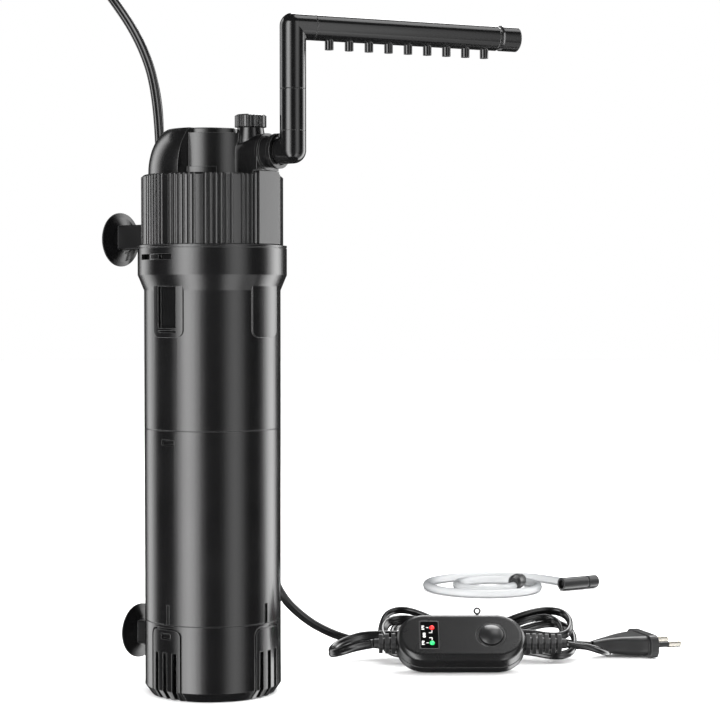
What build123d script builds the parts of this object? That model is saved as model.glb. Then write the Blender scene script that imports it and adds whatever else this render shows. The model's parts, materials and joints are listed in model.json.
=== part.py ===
from build123d import *
import math
import os

# An internal aquarium canister filter with its lead, controller, plug and air hose. Millimetres.
# The origin is on the barrel's axis at the base's underside. +Z is up, the outlet faces -Y and
# the suction cups face +Y.

# ---- barrel stack
BARREL_R = 37.5
WALL = 2.4
FLANGE_R = 41.0
BASE_TOP = 40.7
BARREL_JOINT = 145.6
TAPER_LOW = 221.4
TAPER_HIGH = 229.8
FLANGE_TOP = 245.9
SPIGOT = 8.7
SPIGOT_WALL = 2.0
SHELF = 2.5
SEAM_DEPTH = 0.5
SEAM_HEIGHT = 0.5
FIT = 0.15
RUNNING = 0.05
CLEAR = 0.35
LATCH_SIDES = (0.0, 180.0)
PANEL_SIDES = (0.0, 90.0, 180.0, 270.0)
BASE_SIDES = (-4.0, 94.5, 176.0, 274.5)
BASE_LATCH = (-3.0, 177.0)
BASE_FLOOR = 3.0
BASE_CHAMFER = (3.5, 5.0)
BASE_WINDOW_Z = BASE_TOP - 6.0
BARREL_WINDOW_Z = BARREL_JOINT - 6.2
O_RING_Z = BARREL_JOINT - 5.0
PANEL_ANGLE = 35.0
PANEL_CORNER = 4.5
GROOVE_DEPTH = 1.2
GROOVE_WIDTH = 1.2
SLOT_WIDTH = 3.0
SLOT_PITCH = 10.0
SLOT_TOP = 25.8
SLIT_HEIGHT = 11.0
PAD_LOW = 196.0
PAD_PROUD = 0.9
GRID_LIFT = 2.6
GRID_THICK = 2.2
MEDIA_GAP = 0.3
RING_LENGTH = 15.0
FLOSS = (183.0, 201.0)
BAYONET_Z = 239.4
BAYONET_AT = (169.5, 349.5)
BAYONET_ANGLE = 37.0
LUG_ANGLE = 10.0

# ---- pump head
COLLAR_R = 39.0
COLLAR_LOW = 246.3
COLLAR_HIGH = 284.3
FLUTES = 6
FLUTE_R = 0.95
FLUTE_PITCH = 4.2
SKIRT_R = 38.2
SKIRT_LOW = 232.0
CAN_R = 36.8
HEAD_WALL = 2.2
DECK = 2.8
FRONT_R = 26.0
FRONT_TOP = 306.3
LID_R = 22.0
LID_TOP = 309.2
DOME_FRONT = -5.0
DOME = [(35.0, 286.0), (34.5, 292.0), (32.7, 298.8), (29.9, 304.2), (26.8, 307.8), (24.6, 309.2)]
OUTLET_Z = 296.0
NECK_R = 9.5
NECK_END = -39.0
SOCKET_END = -47.4
SOCKET_R = 8.75
STUB_R = 6.15
VALVE_Y = -27.2
VALVE_R = 6.8
BOSS_TOP = 309.3
KNOB_R = 8.6
KNOB_HIGH = 316.4
DUCT_R = 5.4

# ---- motor and impeller
MOTOR_R = 34.0
MOTOR_LOW = 254.0
MOTOR_HIGH = 281.0
CORE_Z = (258.0, 276.0)
CORE_LEG = (10.4, 17.4)
CORE_BACK = (21.2, 28.0)
COIL_X = (7.6, 20.2)
COIL_Y = (10.0, 20.6)
COIL_Z = (255.2, 278.8)
WELL_R = 10.6
ROTOR_R = 9.9
SHAFT_R = 1.5
CHAMBER_R = 15.0
CHAMBER_LOW = 238.5
COVER_LOW = 234.0

# ---- spray arm
ARM_R = 7.05
ARM_BORE = 5.7
RISER_Y = -56.3
COUPLER_LOW = 306.3
COUPLER_HIGH = 328.6
BAR_Z = 362.0
BAR_HEADING = -30.0
BAR_START = 11.5
BAR_END = 121.6
CAP_START = 123.8
CAP_END = 135.0
CAP_PLUG = 5.0
NOZZLES = 9
NOZZLE_START = 21.0
NOZZLE_PITCH = 11.7
NOZZLE_R = 2.35
NOZZLE_REACH = 4.6

# ---- suction cups
CUP_R = 15.25
CUP_BLOCK = 14.0
# Each cup's height, its rim's Y, its bracket's near and far Y, and the bracket's lowest and highest Z.
CUPS = {
    "upper": (250.5, 68.6, 41.3, 64.0, (244.8, 258.5)),
    "lower": (28.2, 54.5, 37.6, 50.0, (22.0, 35.0)),
}

# ---- the lead, laid out beside the filter along an azimuth 54 degrees clockwise from +X
YARD_AZIMUTH = -54.0
CORD_R = 2.2
GLAND_TOP = 301.0
HANK_LENGTH = 124.0
HANK_WIDTH = 44.0
HANK_HEIGHT = 32.0
HANK_LIFT = 0.05
HANK_CORNER = 8.5
HANK_AT = (152.0, 97.0)
WAIST = (26.0, 16.0)
WAIST_Z = 12.0
TIE_WIDTH = 3.0
CASE_LENGTH = 75.0
CASE_WIDTH = 33.0
CASE_HEIGHT = 16.0
CASE_SPLIT = -1.0
CASE_TILT = 43.0
CASE_AT = (140.0, 58.5, 15.8)
BUTTON_R = 6.9
BUTTON_AT = 17.5
SCREW_AT = 29.0
WINDOW = (11.0, 20.0)
WINDOW_AT = -18.5
LED_AT = -16.9
LEDS_ACROSS = (-5.6, 5.4)
RELIEFS = {"left": (-1, 13.0), "right": (1, 24.0)}
PLUG_AT = (222.0, 101.8, 6.95)
PLUG_TURN = 18.0
PLUG_BODY = 31.0
PLUG_FLANGE = (5.0, 35.3, 13.7)
PIN_SPACING = 18.0
PIN_R = 2.0
PIN_LENGTH = 19.0
PIN_CORE_R = 1.2
SLEEVE_R = 1.65
SLEEVE_LENGTH = 10.0
PIN_ROOT = 8.0

# ---- the air hose
HOSE_R = 3.0
HOSE_AT = (176.0, 390.0)

# The lead's route from the gland, over behind the head and down to the hank: along, across, height.
LEAD_ROUTE = [
    (-30.1, 13.8, 301.0), (-31.2, 14.6, 331.0), (-41.0, 18.5, 361.0), (-60.0, 28.0, 389.0),
    (-78.0, 42.0, 410.0), (-85.0, 66.0, 426.0), (-84.6, 90.0, 418.0), (-68.6, 96.0, 399.7),
    (-48.3, 86.0, 369.8), (-37.6, 78.0, 337.5), (-35.9, 72.0, 305.4), (-33.0, 70.0, 278.0),
    (-23.0, 69.0, 248.0), (-10.0, 67.0, 210.0), (2.0, 66.0, 170.0), (12.0, 66.0, 128.0),
    (20.0, 68.0, 84.0), (32.0, 75.0, 44.0), (48.0, 84.0, 26.0), (66.0, 92.0, 15.0),
    (82.0, 98.0, 10.0), (95.0, 102.0, 8.5),
]
# From the controller's left relief round into the hank.
LEFT_ROUTE = [
    (89.5, 58.5, 15.8), (79.5, 58.7, 14.2), (69.5, 61.5, 10.5), (63.5, 69.5, 8.0), (65.5, 80.5, 10.0),
    (75.0, 88.0, 13.5), (87.5, 90.6, 16.0), (98.0, 91.2, 17.0),
]
# From the controller's right relief round into the hank.
RIGHT_ROUTE = [
    (201.5, 58.5, 15.8), (211.5, 58.8, 14.4), (221.5, 61.5, 11.0), (227.5, 69.5, 8.0), (225.5, 80.5, 8.0),
    (216.0, 88.0, 9.5), (205.0, 90.0, 10.5),
]
# Out of the hank to the plug.
PLUG_ROUTE = [(207.0, 99.5, 8.4), (214.5, 100.0, 7.6), (222.0, 101.8, 6.95)]
# The loose inward spiral of the air hose: degrees round its centre, and radius.
HOSE_TURNS = [
    (8, 63.0), (42, 59.0), (78, 51.5), (116, 47.5), (154, 46.5), (192, 47.5), (232, 50.0), (272, 50.5),
    (312, 46.5), (352, 41.0), (392, 35.0), (434, 29.5), (478, 25.5), (524, 24.0), (572, 25.0), (620, 26.5),
    (664, 24.0), (700, 21.0),
]


def turned(outline):
    """Revolve a closed outline of (radius, height) points about the vertical axis."""
    face = Plane.XZ * make_face(Polyline(*outline, close=True))
    return revolve(face, Axis.Z)


def ring(outer, inner, low, high):
    return turned([(inner, low), (outer, low), (outer, high), (inner, high)])


def drum(radius, low, high, x=0.0, y=0.0):
    return Pos(x, y, (low + high) / 2) * Cylinder(radius, high - low)


def box(x_range, y_range, z_range):
    sizes = [high - low for low, high in (x_range, y_range, z_range)]
    centre = [(low + high) / 2 for low, high in (x_range, y_range, z_range)]
    return Pos(*centre) * Box(*sizes)


def about_axis(shape, degrees):
    return Rot(0, 0, degrees) * shape


def wedge(outer, degrees, low, high, at):
    """A pie slice of the given angle, centred on an azimuth."""
    half = math.radians(degrees / 2)
    spread = outer * math.tan(half)
    corners = [(0, 0), (outer, -spread), (outer, spread)]
    piece = extrude(make_face(Polyline(*corners, close=True)), high - low)
    return about_axis(Pos(0, 0, low) * piece, at)


def panel(width, low, high, corner, at, reach=60.0):
    """A radial block with rounded upper corners, facing the given azimuth."""
    outline = Pos(0, (low + high) / 2) * RectangleRounded(width, high - low, corner)
    block = extrude(Plane.YZ * outline, reach)
    return about_axis(block, at)


def yard(along, across, height=0.0):
    """A place beside the filter, in the row's own coordinates."""
    turn = math.radians(YARD_AZIMUTH)
    x = along * math.cos(turn) - across * math.sin(turn)
    y = along * math.sin(turn) + across * math.cos(turn)
    return Vector(x, y, height)


def tube(name, points, radius):
    """A round tube along straight runs joined by arcs as large as the runs allow."""
    vectors = [Vector(p) for p in points]
    runs = [(b - a) for a, b in zip(vectors, vectors[1:])]
    radii = []
    for before, after in zip(runs, runs[1:]):
        half_turn = math.radians(before.get_angle(after)) / 2
        radii.append(0.45 * min(before.length, after.length) / math.tan(half_turn))
    path = FilletPolyline(*vectors, radius=radii)
    section = Plane(origin=vectors[0], z_dir=runs[0]) * Circle(radius)
    solid = sweep(section, path=path)
    expected = math.pi * radius**2 * path.length
    print(name, "length", round(path.length, 1), "volume ratio", round(solid.volume / expected, 4))
    print("  runs", [round(r.length) for r in runs])
    print("  radii", [round(r) for r in radii])
    return solid


# ---------------------------------------------------------------- barrel stack
INNER_R = BARREL_R - WALL
SPIGOT_R = INNER_R - FIT
SPIGOT_INNER = SPIGOT_R - SPIGOT_WALL


def snap_window(width, height, z, sides):
    """Windows through the wall on the two latch sides."""
    return [panel(width, z - height / 2, z + height / 2, 0.6, side) for side in sides]


def snap_bumps(width, height, z, sides):
    """Teeth on the spigot that stand in the windows of the next piece."""
    reach = ring(BARREL_R - 0.7, SPIGOT_R - 1.0, z - height / 2, z + height / 2)
    return [reach & panel(width, z - height, z + height, 0.6, side) for side in sides]


def make_intake_base():
    chamfer_in, chamfer_up = BASE_CHAMFER
    floor = BASE_FLOOR
    outline = [(0, 0), (BARREL_R - chamfer_in, 0), (BARREL_R, chamfer_up), (BARREL_R, BASE_TOP)]
    outline += [(INNER_R, BASE_TOP), (INNER_R, chamfer_up + 2.0)]
    outline += [(BARREL_R - chamfer_in - 3.0, floor), (0, floor)]
    base = turned(outline)
    inset = GROOVE_DEPTH
    outer = [(0, -1), (BARREL_R + 2, -1), (BARREL_R + 2, BASE_TOP), (0, BASE_TOP)]
    inner = [(0, -2), (BARREL_R - chamfer_in - inset, -2), (BARREL_R - chamfer_in - inset, 0)]
    inner += [(BARREL_R - inset, chamfer_up), (BARREL_R - inset, BASE_TOP + 1), (0, BASE_TOP + 1)]
    skin = turned(outer) - turned(inner)
    width = 2 * BARREL_R * math.sin(math.radians(PANEL_ANGLE / 2))
    top = BASE_TOP - 1.4
    for side in BASE_SIDES:
        plate_width = width - 2 * GROOVE_WIDTH
        plate = panel(plate_width, -14.0, top - GROOVE_WIDTH, PANEL_CORNER - GROOVE_WIDTH, side)
        base -= skin & (panel(width, -12.0, top, PANEL_CORNER, side) - plate)
        for step in (-1, 0, 1):
            slot = box((27.5, BARREL_R + 3), (-SLOT_WIDTH / 2, SLOT_WIDTH / 2), (floor + 0.4, SLOT_TOP))
            edge = box((32.0, BARREL_R + 3), (-SLOT_WIDTH / 2, SLOT_WIDTH / 2), (-1.0, floor + 1.0))
            base -= about_axis(slot + edge, side + step * SLOT_PITCH)
    return base - snap_window(6.9, 3.2, BASE_WINDOW_Z, BASE_LATCH)


def spigot_outline(joint, low):
    """The inner shelf and the male spigot that goes down into the piece below a joint."""
    return [(SPIGOT_INNER, low), (SPIGOT_R, low), (SPIGOT_R, joint), (SPIGOT_INNER, joint)]


def seam_outline(joint):
    """A small step round the wall's lower edge, which shows as a dark line at the joint."""
    inside = BARREL_R - SEAM_DEPTH
    return [(inside, joint), (inside, joint + SEAM_HEIGHT), (BARREL_R, joint + SEAM_HEIGHT)]


def make_lower_barrel():
    outline = spigot_outline(BASE_TOP, BASE_TOP - SPIGOT)[:3] + seam_outline(BASE_TOP)
    outline += [(BARREL_R, BARREL_JOINT), (INNER_R, BARREL_JOINT)]
    outline += [(INNER_R, BASE_TOP + SHELF), (SPIGOT_INNER, BASE_TOP + SHELF)]
    barrel = turned(outline)
    for side, width in zip(PANEL_SIDES, (1.7, 2.4, 1.7, 2.4)):
        heights = (BASE_TOP - 1, BASE_TOP + SLIT_HEIGHT)
        slit = box((BARREL_R - 1.3, BARREL_R + 2), (-width / 2, width / 2), heights)
        barrel -= about_axis(slit, side)
    barrel -= snap_window(8.8, 3.1, BARREL_WINDOW_Z, LATCH_SIDES)
    return barrel + snap_bumps(5.6, 2.0, BASE_WINDOW_Z, BASE_LATCH)


def make_upper_barrel():
    flange_inner = COLLAR_R
    outline = spigot_outline(BARREL_JOINT, BARREL_JOINT - SPIGOT)[:3] + seam_outline(BARREL_JOINT)
    outline += [(BARREL_R, TAPER_LOW), (FLANGE_R, TAPER_HIGH), (FLANGE_R, 244.3)]
    outline += [(FLANGE_R - 0.4, 244.3), (FLANGE_R - 0.4, 244.8), (FLANGE_R, 244.8), (FLANGE_R, FLANGE_TOP)]
    outline += [(flange_inner, FLANGE_TOP), (flange_inner, TAPER_HIGH + 1.5), (INNER_R, TAPER_LOW + 1.0)]
    outline += [(INNER_R, BARREL_JOINT + SHELF), (SPIGOT_INNER, BARREL_JOINT + SHELF)]
    barrel = turned(outline)
    pad_width = 2 * BARREL_R * math.sin(math.radians(16.0))
    shell = ring(BARREL_R + PAD_PROUD, INNER_R + 0.5, PAD_LOW - 5, TAPER_LOW + 3.3)
    for side in PANEL_SIDES:
        barrel += shell & panel(pad_width, PAD_LOW, TAPER_LOW + 12, 4.2, side)
    latch = (-pad_width * 0.3, pad_width * 0.3)
    for side in LATCH_SIDES:
        recess = box((BARREL_R - 1.9, BARREL_R + 4), latch, (201.0, TAPER_LOW + 2.2))
        groove = box((BARREL_R - 0.6, BARREL_R + 4), latch, (198.6, 199.7))
        barrel -= about_axis(recess + groove, side)
    for at in BAYONET_AT:
        slot = wedge(FLANGE_R + 2, BAYONET_ANGLE, BAYONET_Z - 1.5, BAYONET_Z + 1.5, at)
        barrel -= slot - drum(INNER_R, 230, 245)
    barrel -= ring(SPIGOT_R + 1, SPIGOT_R - 1.0, O_RING_Z, O_RING_Z + 2.0)
    return barrel + snap_bumps(7.4, 2.0, BARREL_WINDOW_Z, LATCH_SIDES)


def make_barrel_o_ring():
    return ring(SPIGOT_R + 0.05, SPIGOT_R - 0.95, O_RING_Z + 0.1, O_RING_Z + 1.9)


def make_media_grid(low):
    grid = drum(INNER_R - 0.4, low, low + GRID_THICK)
    grid -= [Pos(x, 0, low) * Box(3.2, 2 * math.sqrt(30.0**2 - x**2), 10) for x in range(-24, 25, 6)]
    grid += box((-30.5, 30.5), (-1.5, 1.5), (low, low + GRID_THICK))
    return grid


def make_sponge():
    sponge = ring(32.4, 7.0, BASE_TOP + GRID_LIFT + GRID_THICK + MEDIA_GAP, 133.0)
    ribs = [about_axis(Pos(32.9, 0, 88) * Cylinder(2.2, 100), 30 * k) for k in range(12)]
    return sponge - ribs


def make_ceramic_rings():
    """Nineteen rings in each of two layers, loose on the upper grid."""
    one = Cylinder(5.7, RING_LENGTH) - Cylinder(2.8, RING_LENGTH + 1)
    places = [(0.0, 0.0)]
    for k in range(6):
        places.append((12.4 * math.cos(k * math.pi / 3), 12.4 * math.sin(k * math.pi / 3)))
    for k in range(12):
        places.append((25.4 * math.cos((k + 0.5) * math.pi / 6), 25.4 * math.sin((k + 0.5) * math.pi / 6)))
    floor = BARREL_JOINT + GRID_LIFT + GRID_THICK + MEDIA_GAP
    heights = [floor + RING_LENGTH / 2, floor + RING_LENGTH * 1.5 + 0.6]
    return Compound(children=[Pos(x, y, z) * one for z in heights for x, y in places])


def make_floss_pad():
    return drum(33.0, *FLOSS)


# ---------------------------------------------------------------- suction cups
def make_cup_bracket(name):
    z, _, near, far, heights = CUPS[name]
    half = CUP_BLOCK / 2
    bracket = fillet(box((-half, half), (near, far), heights).edges().filter_by(Axis.Y), 1.2)
    if name == "upper":
        bracket += box((-half, half), (near - 1.3, near + 3.0), (232.0, heights[0] + 1.5))
        bracket -= drum(FLANGE_R + 0.05, 225, FLANGE_TOP + 0.2)
    else:
        bracket += box((-half, half), (near - 1.2, near + 1.5), heights)
        bracket -= drum(BARREL_R + 0.05, 0, 60)
    bore = Pos(0, far, z) * Rot(90, 0, 0) * Cylinder(2.6, 12)
    head = Pos(0, far - 6.5, z) * Rot(90, 0, 0) * Cylinder(4.7, 5)
    return bracket - bore - head


def make_suction_cup(name):
    z, rim, _, far, _ = CUPS[name]
    back = far + 0.3
    outline = [
        (0, far - 8.5), (4.2, far - 8.5), (4.4, far - 4.6), (2.45, far - 4.4), (2.45, back), (6.6, back),
        (8.2, back + 1.0), (12.6, rim - 1.4), (CUP_R, rim - 0.6), (CUP_R, rim), (CUP_R - 1.2, rim),
        (10.5, rim - 0.6), (5.0, rim - 1.6), (0, rim - 2.0),
    ]
    face = make_face(Polyline(*[(r, y) for r, y in outline], close=True))
    return Pos(0, 0, z) * revolve(face, Axis.Y)


# ---------------------------------------------------------------- pump head
def outlet_block(profile, start, end):
    """Extrude a profile centred on the outlet's axis along -Y."""
    return Pos(0, start, OUTLET_Z) * extrude(Plane.XZ * profile, start - end)


def dome_solid(inset):
    """The rear half dome, its walls moved in by inset."""
    top = LID_TOP - inset
    side = [(r - inset, 286.0 + (z - 286.0) * (top - 286.0) / (LID_TOP - 286.0)) for r, z in DOME]
    foot = Polyline((0, top), (0, COLLAR_HIGH), (side[0][0], COLLAR_HIGH), side[0])
    curve = Spline(*side, tangents=[(0, 1), (-1, 0.45)])
    face = Plane.XZ * make_face([foot, curve, Line(side[-1], (0, top))])
    return revolve(face, Axis.Z) & box((-60, 60), (DOME_FRONT + inset, 60), (200, 400))


def bore(radius, start, end):
    return Pos(0, (start + end) / 2, OUTLET_Z) * Rot(90, 0, 0) * Cylinder(radius, abs(end - start))


def make_gland():
    place = yard(*LEAD_ROUTE[0][:2])
    outline = [(0, COLLAR_HIGH - DECK), (2.8, COLLAR_HIGH - DECK), (2.8, COLLAR_HIGH)]
    outline += [(5.4, COLLAR_HIGH + 0.1), (5.4, 289.0)]
    for k in range(3):
        z = 290.0 + 3.4 * k
        neck = 4.3 - 0.25 * k
        outline += [(neck, z), (neck, z + 1.0), (neck + 0.8, z + 1.3), (neck + 0.7, z + 2.6)]
    outline += [(3.9, 300.4), (3.4, GLAND_TOP), (0, GLAND_TOP)]
    return Pos(place.X, place.Y, 0) * turned(outline)


def make_pump_head():
    outer = ring(SKIRT_R, SKIRT_R - 2.4, SKIRT_LOW, COLLAR_LOW - 0.1)
    outer += ring(CAN_R, SKIRT_R - 2.4, COLLAR_LOW - 2.0, COLLAR_HIGH - DECK)
    outer += drum(CAN_R, COLLAR_HIGH - DECK, COLLAR_HIGH)
    outer += drum(FRONT_R, COLLAR_HIGH - 1, FRONT_TOP)
    outer += dome_solid(0.0)
    outer += ring(27.5, 20.0, COLLAR_HIGH - 1, 288.0) & wedge(60, 35.0, 280, 290, 207.5)
    for end, drop in ((-36.7, 11.65), (NECK_END, 10.2)):
        neck = Circle(NECK_R) + Pos(0, -drop / 2) * Rectangle(2 * NECK_R, drop)
        outer += outlet_block(neck, -20.0, end)
    outer += bore(SOCKET_R, NECK_END + 3, SOCKET_END)
    outer += bore(NECK_R, SOCKET_END + 2.3, SOCKET_END)
    outer += bore(NECK_R + 0.45, NECK_END + 1.2, NECK_END - 0.6)
    boss = turned([(0, OUTLET_Z), (8.4, OUTLET_Z), (8.1, 303.0), (7.1, BOSS_TOP), (0, BOSS_TOP)])
    outer += Pos(0, VALVE_Y, 0) * boss

    cavity = drum(FRONT_R - HEAD_WALL, COLLAR_HIGH - DECK - 1, FRONT_TOP - 2.0)
    cavity &= box((-60, 60), (VALVE_Y + VALVE_R + 4.0, 60), (200, 400))
    cavity += dome_solid(HEAD_WALL) & box((-60, 60), (DOME_FRONT + HEAD_WALL, 60), (COLLAR_HIGH, 400))
    head = outer - cavity
    head -= drum(LID_R + FIT, FRONT_TOP, LID_TOP + 1)
    head -= drum(LID_R - 3.0, FRONT_TOP - 3.0, LID_TOP) & box((-60, 60), (-14.0, 60), (200, 400))
    head -= drum(VALVE_R + CLEAR, 288.0, 303.2, y=VALVE_Y)
    head -= drum(2.5 + CLEAR, 300.0, BOSS_TOP + 1, y=VALVE_Y)
    head -= drum(DUCT_R, 270.0, 290.0, y=VALVE_Y)
    head -= bore(DUCT_R, VALVE_Y, -37.0)
    head -= bore(STUB_R + CLEAR, -36.4, SOCKET_END - 1)
    head -= bore(7.6, SOCKET_END + 1.4, SOCKET_END - 1)
    head -= ring(SKIRT_R + 1, SKIRT_R - 1.0, 234.6, 237.2)
    lug = ring(FLANGE_R - 0.7, SKIRT_R - 0.6, BAYONET_Z - 1.1, BAYONET_Z + 1.1)
    for at in BAYONET_AT:
        head += lug & wedge(60, LUG_ANGLE, 230, 250, at)
    lead = yard(*LEAD_ROUTE[0][:2])
    return head - make_gland() - drum(CORD_R + 0.9, GLAND_TOP - 1.0, LID_TOP, lead.X, lead.Y)


def make_head_o_ring():
    return ring(SKIRT_R + 0.45, SKIRT_R - 0.9, 234.8, 237.0)


def make_collar():
    """The fluted grip ring: twelve plain lands with six round grooves between each pair."""
    outline = Circle(COLLAR_R) - Circle(CAN_R + FIT)
    grooves = []
    for sector in range(12):
        for k in range(FLUTES):
            at = (sector + 0.5) * 30.0 + (k - (FLUTES - 1) / 2) * FLUTE_PITCH
            grooves.append(Rot(0, 0, at) * Pos(COLLAR_R, 0) * Circle(FLUTE_R))
    outline -= grooves
    collar = Pos(0, 0, COLLAR_LOW) * extrude(outline, COLLAR_HIGH - COLLAR_LOW)
    limit = [(0, COLLAR_LOW - 1), (COLLAR_R + 0.5, COLLAR_LOW - 1), (COLLAR_R + 0.5, COLLAR_HIGH - 1.6)]
    limit += [(COLLAR_R - 1.7, COLLAR_HIGH + 0.3), (0, COLLAR_HIGH + 0.3)]
    collar &= turned(limit)
    plate = box((-8.5, 8.5), (-40.2, -37.4), (COLLAR_LOW + 0.2, COLLAR_HIGH + 1.2))
    cheeks = box((-10.6, 10.6), (-39.2, -37.4), (COLLAR_LOW + 0.2, COLLAR_HIGH))
    return collar + (plate + cheeks - drum(CAN_R + FIT, 200, 300))


def make_top_lid():
    lid = drum(LID_R, FRONT_TOP, LID_TOP)
    lid = chamfer(lid.faces().sort_by(Axis.Z)[-1].edges(), 0.5)
    plug_ring = ring(LID_R - 3.3, LID_R - 5.0, FRONT_TOP - 2.6, FRONT_TOP)
    plug_ring &= box((-60, 60), (-13.6, 60), (200, 400))
    return lid + plug_ring - drum(KNOB_R + 0.6, FRONT_TOP - 5, LID_TOP + 1, y=VALVE_Y)


def make_flow_knob():
    outline = Circle(KNOB_R)
    outline -= [Rot(0, 0, k * 360 / 28) * Pos(KNOB_R, 0) * Circle(0.42) for k in range(28)]
    knob = Pos(0, VALVE_Y, BOSS_TOP + 0.4) * extrude(outline, KNOB_HIGH - BOSS_TOP - 0.4)
    top = [(0, 300), (KNOB_R + 1, 300), (KNOB_R + 1, KNOB_HIGH - 1.2)]
    top += [(KNOB_R - 1.4, KNOB_HIGH + 0.1), (0, KNOB_HIGH + 0.1)]
    knob &= Pos(0, VALVE_Y, 0) * turned(top)
    knob -= box((-0.7, 0.7), (VALVE_Y - 6.0, VALVE_Y - 1.5), (KNOB_HIGH - 0.5, KNOB_HIGH + 1))
    return knob - drum(2.5 + RUNNING, 300, 314.5, y=VALVE_Y)


def make_flow_valve():
    """A rotary plug with an elbow passage: duct below, outlet in front."""
    plug = drum(VALVE_R, 288.4, 302.8, y=VALVE_Y) + drum(2.5, 302.0, 314.4, y=VALVE_Y)
    return plug - drum(4.6, 280.0, OUTLET_Z, y=VALVE_Y) - bore(4.6, VALVE_Y, -40.0)


# ---------------------------------------------------------------- motor and impeller
def make_stator_core():
    leg = box(CORE_LEG, (-8.0, CORE_BACK[1]), CORE_Z)
    core = leg + mirror(leg, about=Plane.YZ) + box((-CORE_LEG[1], CORE_LEG[1]), CORE_BACK, CORE_Z)
    return core - drum(12.0, 250, 290)


def make_stator_coils():
    coil = box(COIL_X, COIL_Y, COIL_Z) - box(CORE_LEG, (0, 30), CORE_Z)
    return Compound(children=[coil, mirror(coil, about=Plane.YZ)])


def make_motor_housing():
    housing = drum(MOTOR_R, MOTOR_LOW, MOTOR_HIGH)
    housing -= drum(WELL_R, MOTOR_LOW - 1, 279.6) + drum(SHAFT_R, 279.0, 280.6)
    housing -= drum(DUCT_R, 240, 290, y=VALVE_Y)
    housing -= box((-CORE_LEG[1], CORE_LEG[1]), CORE_BACK, CORE_Z)
    for side in (-1, 1):
        leg = sorted(side * x for x in CORE_LEG)
        housing -= box(leg, (-8.0, CORE_BACK[1]), CORE_Z) - drum(12.0, 250, 290)
        housing -= box(sorted(side * x for x in COIL_X), COIL_Y, COIL_Z)
    return housing


def make_impeller_cover():
    """The pump chamber under the motor: its spoked inlet, and its passage to the outlet duct."""
    cover = drum(MOTOR_R, COVER_LOW, MOTOR_LOW)
    cover -= drum(CHAMBER_R, CHAMBER_LOW, MOTOR_LOW + 1)
    passage = box((-DUCT_R, DUCT_R), (VALVE_Y, 0), (243.0, MOTOR_LOW - 1.5))
    cover -= passage + drum(DUCT_R, 243.0, MOTOR_LOW + 1, y=VALVE_Y)
    inlet = ring(9.0, 4.2, COVER_LOW - 1, CHAMBER_LOW + 1)
    spoke = box((3, 10), (-1, 1), (COVER_LOW - 2, CHAMBER_LOW + 2))
    spokes = [about_axis(spoke, 120 * k) for k in range(3)]
    return cover - (inlet - spokes) - drum(2.9, COVER_LOW + 1.2, CHAMBER_LOW + 1)


def make_rotor_magnet():
    return ring(ROTOR_R, 5.0, 256.8, 278.4)


def make_impeller():
    """Hub, six curved blades and the sleeve that carries the magnet."""
    hub = drum(4.9, 240.2, 278.0) + drum(12.6, 250.6, 252.0)
    for k in range(6):
        arc = ThreePointArc((3.5, 0), (8.0, 1.8), (12.6, 6.0))
        blade = extrude(make_face(offset(arc, 0.6)), 7.0)
        hub += about_axis(Pos(0, 0, 243.8) * blade, 60 * k)
    hub &= drum(12.9, 230, 290)
    return hub - drum(SHAFT_R + RUNNING, 230, 290)


def make_shaft():
    return drum(SHAFT_R, 236.0, 280.6)


def make_bushes():
    lower = drum(2.85, 235.3, 239.8) - drum(SHAFT_R, 236.0, 250)
    upper = drum(3.6, 278.6, 279.5) - drum(SHAFT_R, 270.0, 290)
    return Compound(children=[lower, upper])


# ---------------------------------------------------------------- spray arm
BAR = Location((0, RISER_Y, BAR_Z), (0, 0, BAR_HEADING))


def along_bar(radius, start, end):
    """A cylinder on the spray bar's own axis, from start to end."""
    return BAR * Pos((start + end) / 2, 0, 0) * Rot(0, 90, 0) * Cylinder(radius, end - start)


def make_lower_elbow():
    mouth = SOCKET_END - CLEAR
    elbow = drum(ARM_R, OUTLET_Z, COUPLER_LOW, y=RISER_Y) + bore(ARM_R, mouth, RISER_Y)
    elbow += Pos(0, RISER_Y, OUTLET_Z) * Sphere(ARM_R)
    elbow += bore(STUB_R, -37.0, mouth - 1)
    elbow -= bore(STUB_R - 1.3, -36.0, RISER_Y)
    return elbow - drum(ARM_BORE, OUTLET_Z, COUPLER_LOW + 1, y=RISER_Y)


def make_riser_coupler():
    coupler = drum(ARM_R, COUPLER_LOW + 0.1, COUPLER_HIGH - 0.2, y=RISER_Y)
    coupler += drum(ARM_BORE - FIT, COUPLER_LOW - 5.0, COUPLER_LOW + 1, y=RISER_Y)
    coupler += drum(ARM_BORE - CLEAR, COUPLER_HIGH - 1, COUPLER_HIGH + 6.0, y=RISER_Y)
    return coupler - drum(4.2, 290, 340, y=RISER_Y)


def make_upper_elbow():
    elbow = drum(ARM_R, COUPLER_HIGH + 0.15, BAR_Z, y=RISER_Y) + along_bar(ARM_R, 0, BAR_START)
    elbow += Pos(0, RISER_Y, BAR_Z) * Sphere(ARM_R)
    elbow -= drum(ARM_BORE, COUPLER_HIGH - 1, BAR_Z, y=RISER_Y)
    elbow -= along_bar(4.2, 0, BAR_START + 1)
    return elbow + (along_bar(ARM_BORE - CLEAR, BAR_START - 1, BAR_START + 6.5) - along_bar(4.2, 0, 30))


def make_spray_tube():
    start = BAR_START + 0.35
    bar = along_bar(ARM_R, start, BAR_END)
    for k in range(NOZZLES):
        place = BAR * Pos(NOZZLE_START + k * NOZZLE_PITCH, 0, -(ARM_R + NOZZLE_REACH) / 2)
        nozzle = place * Cylinder(NOZZLE_R, ARM_R + NOZZLE_REACH)
        bar += nozzle
    bar -= along_bar(ARM_BORE, start - 1, BAR_END + 1)
    for k in range(NOZZLES):
        place = BAR * Pos(NOZZLE_START + k * NOZZLE_PITCH, 0, -(ARM_R + NOZZLE_REACH) / 2)
        bar -= place * Cylinder(1.2, ARM_R + NOZZLE_REACH + 2)
    return bar


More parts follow.
